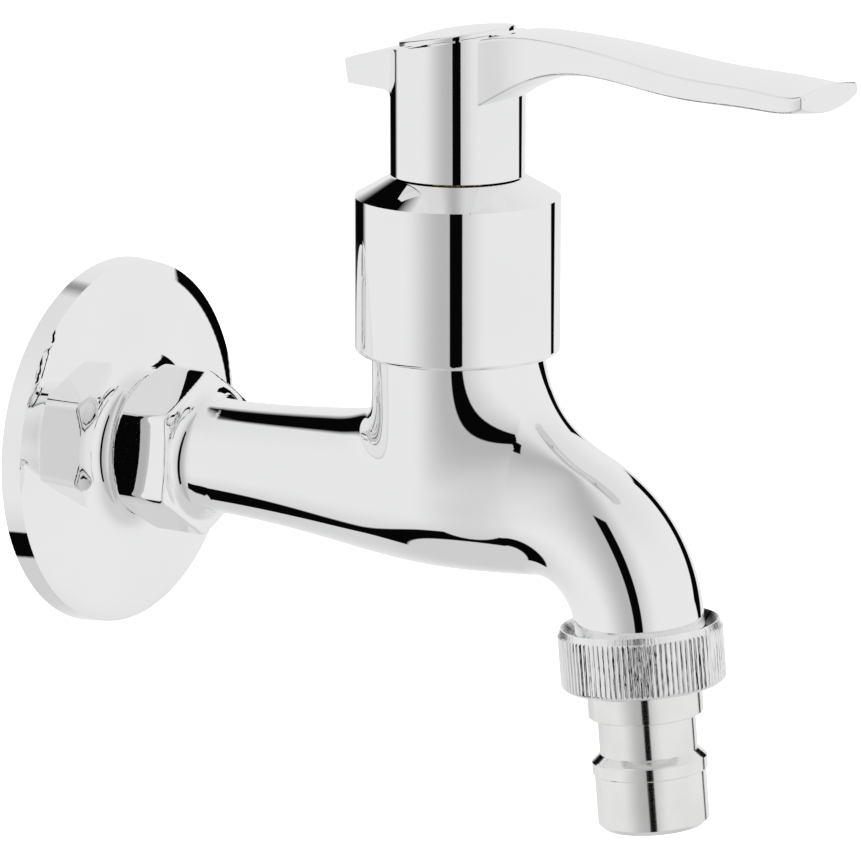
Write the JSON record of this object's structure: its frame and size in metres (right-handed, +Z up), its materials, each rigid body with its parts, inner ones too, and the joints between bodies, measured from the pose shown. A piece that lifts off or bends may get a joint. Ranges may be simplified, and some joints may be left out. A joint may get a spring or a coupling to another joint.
{
  "type": "hose bib",
  "caption": "Wall-mounted chrome hose bib: round rosette, hexagon, tube with a valve tower, lever handle, down-turned spout, knurled union nut and quick-connect hose tail.",
  "frame": {"origin": "centre of the wall flange's back face, on the inlet axis, in the plane of the wall", "axes": "+Y into the wall along the inlet spigot, -Y towards the spout, +Z up along the valve axis, symmetrical about X = 0"},
  "size_m": [0.0616, 0.1485, 0.1267],
  "materials": {
    "chrome_plate": "mirror-polished chrome plate on brass",
    "satin_nickel": "turned and nickel plated, fine circumferential tool marks",
    "brass": "turned",
    "ceramic": "lapped alumina",
    "rubber": "moulded",
    "steel": "zinc plated",
    "nylon": "moulded",
    "fibre": "flat cut gasket"
  },
  "bodies": {
    "body": {"tap_body": "chrome_plate", "bonnet_cover": "chrome_plate", "cartridge_body": "brass", "fixed_disc": "ceramic", "seat_seal": "rubber", "seal_support_ring": "nylon", "body_o_ring": "rubber", "cover_o_ring": "rubber"},
    "rosette": {"wall_flange": "chrome_plate"},
    "lever": {"handle": "chrome_plate", "handle_cap": "chrome_plate", "handle_screw": "steel", "spindle": "brass", "spindle_o_rings": "rubber", "retaining_clip": "steel", "thrust_washer": "nylon", "moving_disc": "ceramic"},
    "gasket": {"outlet_gasket": "fibre"},
    "tail": {"hose_tail": "satin_nickel"},
    "nut": {"union_nut": "chrome_plate"}
  },
  "joints": [
    {"name": "lever_turn", "type": "hinge", "parent": "body", "child": "lever", "pos_m": [0, -0.06875, 0.05], "axis": [0, 0, 1], "range_deg": [0, 90]},
    {"name": "rosette_turn", "type": "hinge", "parent": "body", "child": "rosette", "pos_m": [0, 0, 0], "axis": [0, 1, 0], "continuous": true},
    {"name": "gasket_slide", "type": "slide", "parent": "body", "child": "gasket", "axis": [0, -0.0936, -0.9956], "range_m": [0, 0.00453]},
    {"name": "nut_turn", "type": "hinge", "parent": "gasket", "child": "nut", "pos_m": [0, -0.10359, -0.02184], "axis": [0, -0.0936, -0.9956], "range_deg": [0, 900]},
    {"name": "tail_swivel", "type": "hinge", "parent": "gasket", "child": "tail", "pos_m": [0, -0.10499, -0.03677], "axis": [0, -0.0936, -0.9956], "continuous": true}
  ],
  "couplings": [
    {"joint": "nut_turn", "follows": "gasket_slide", "rad_per_m": 3463.7}
  ]
}
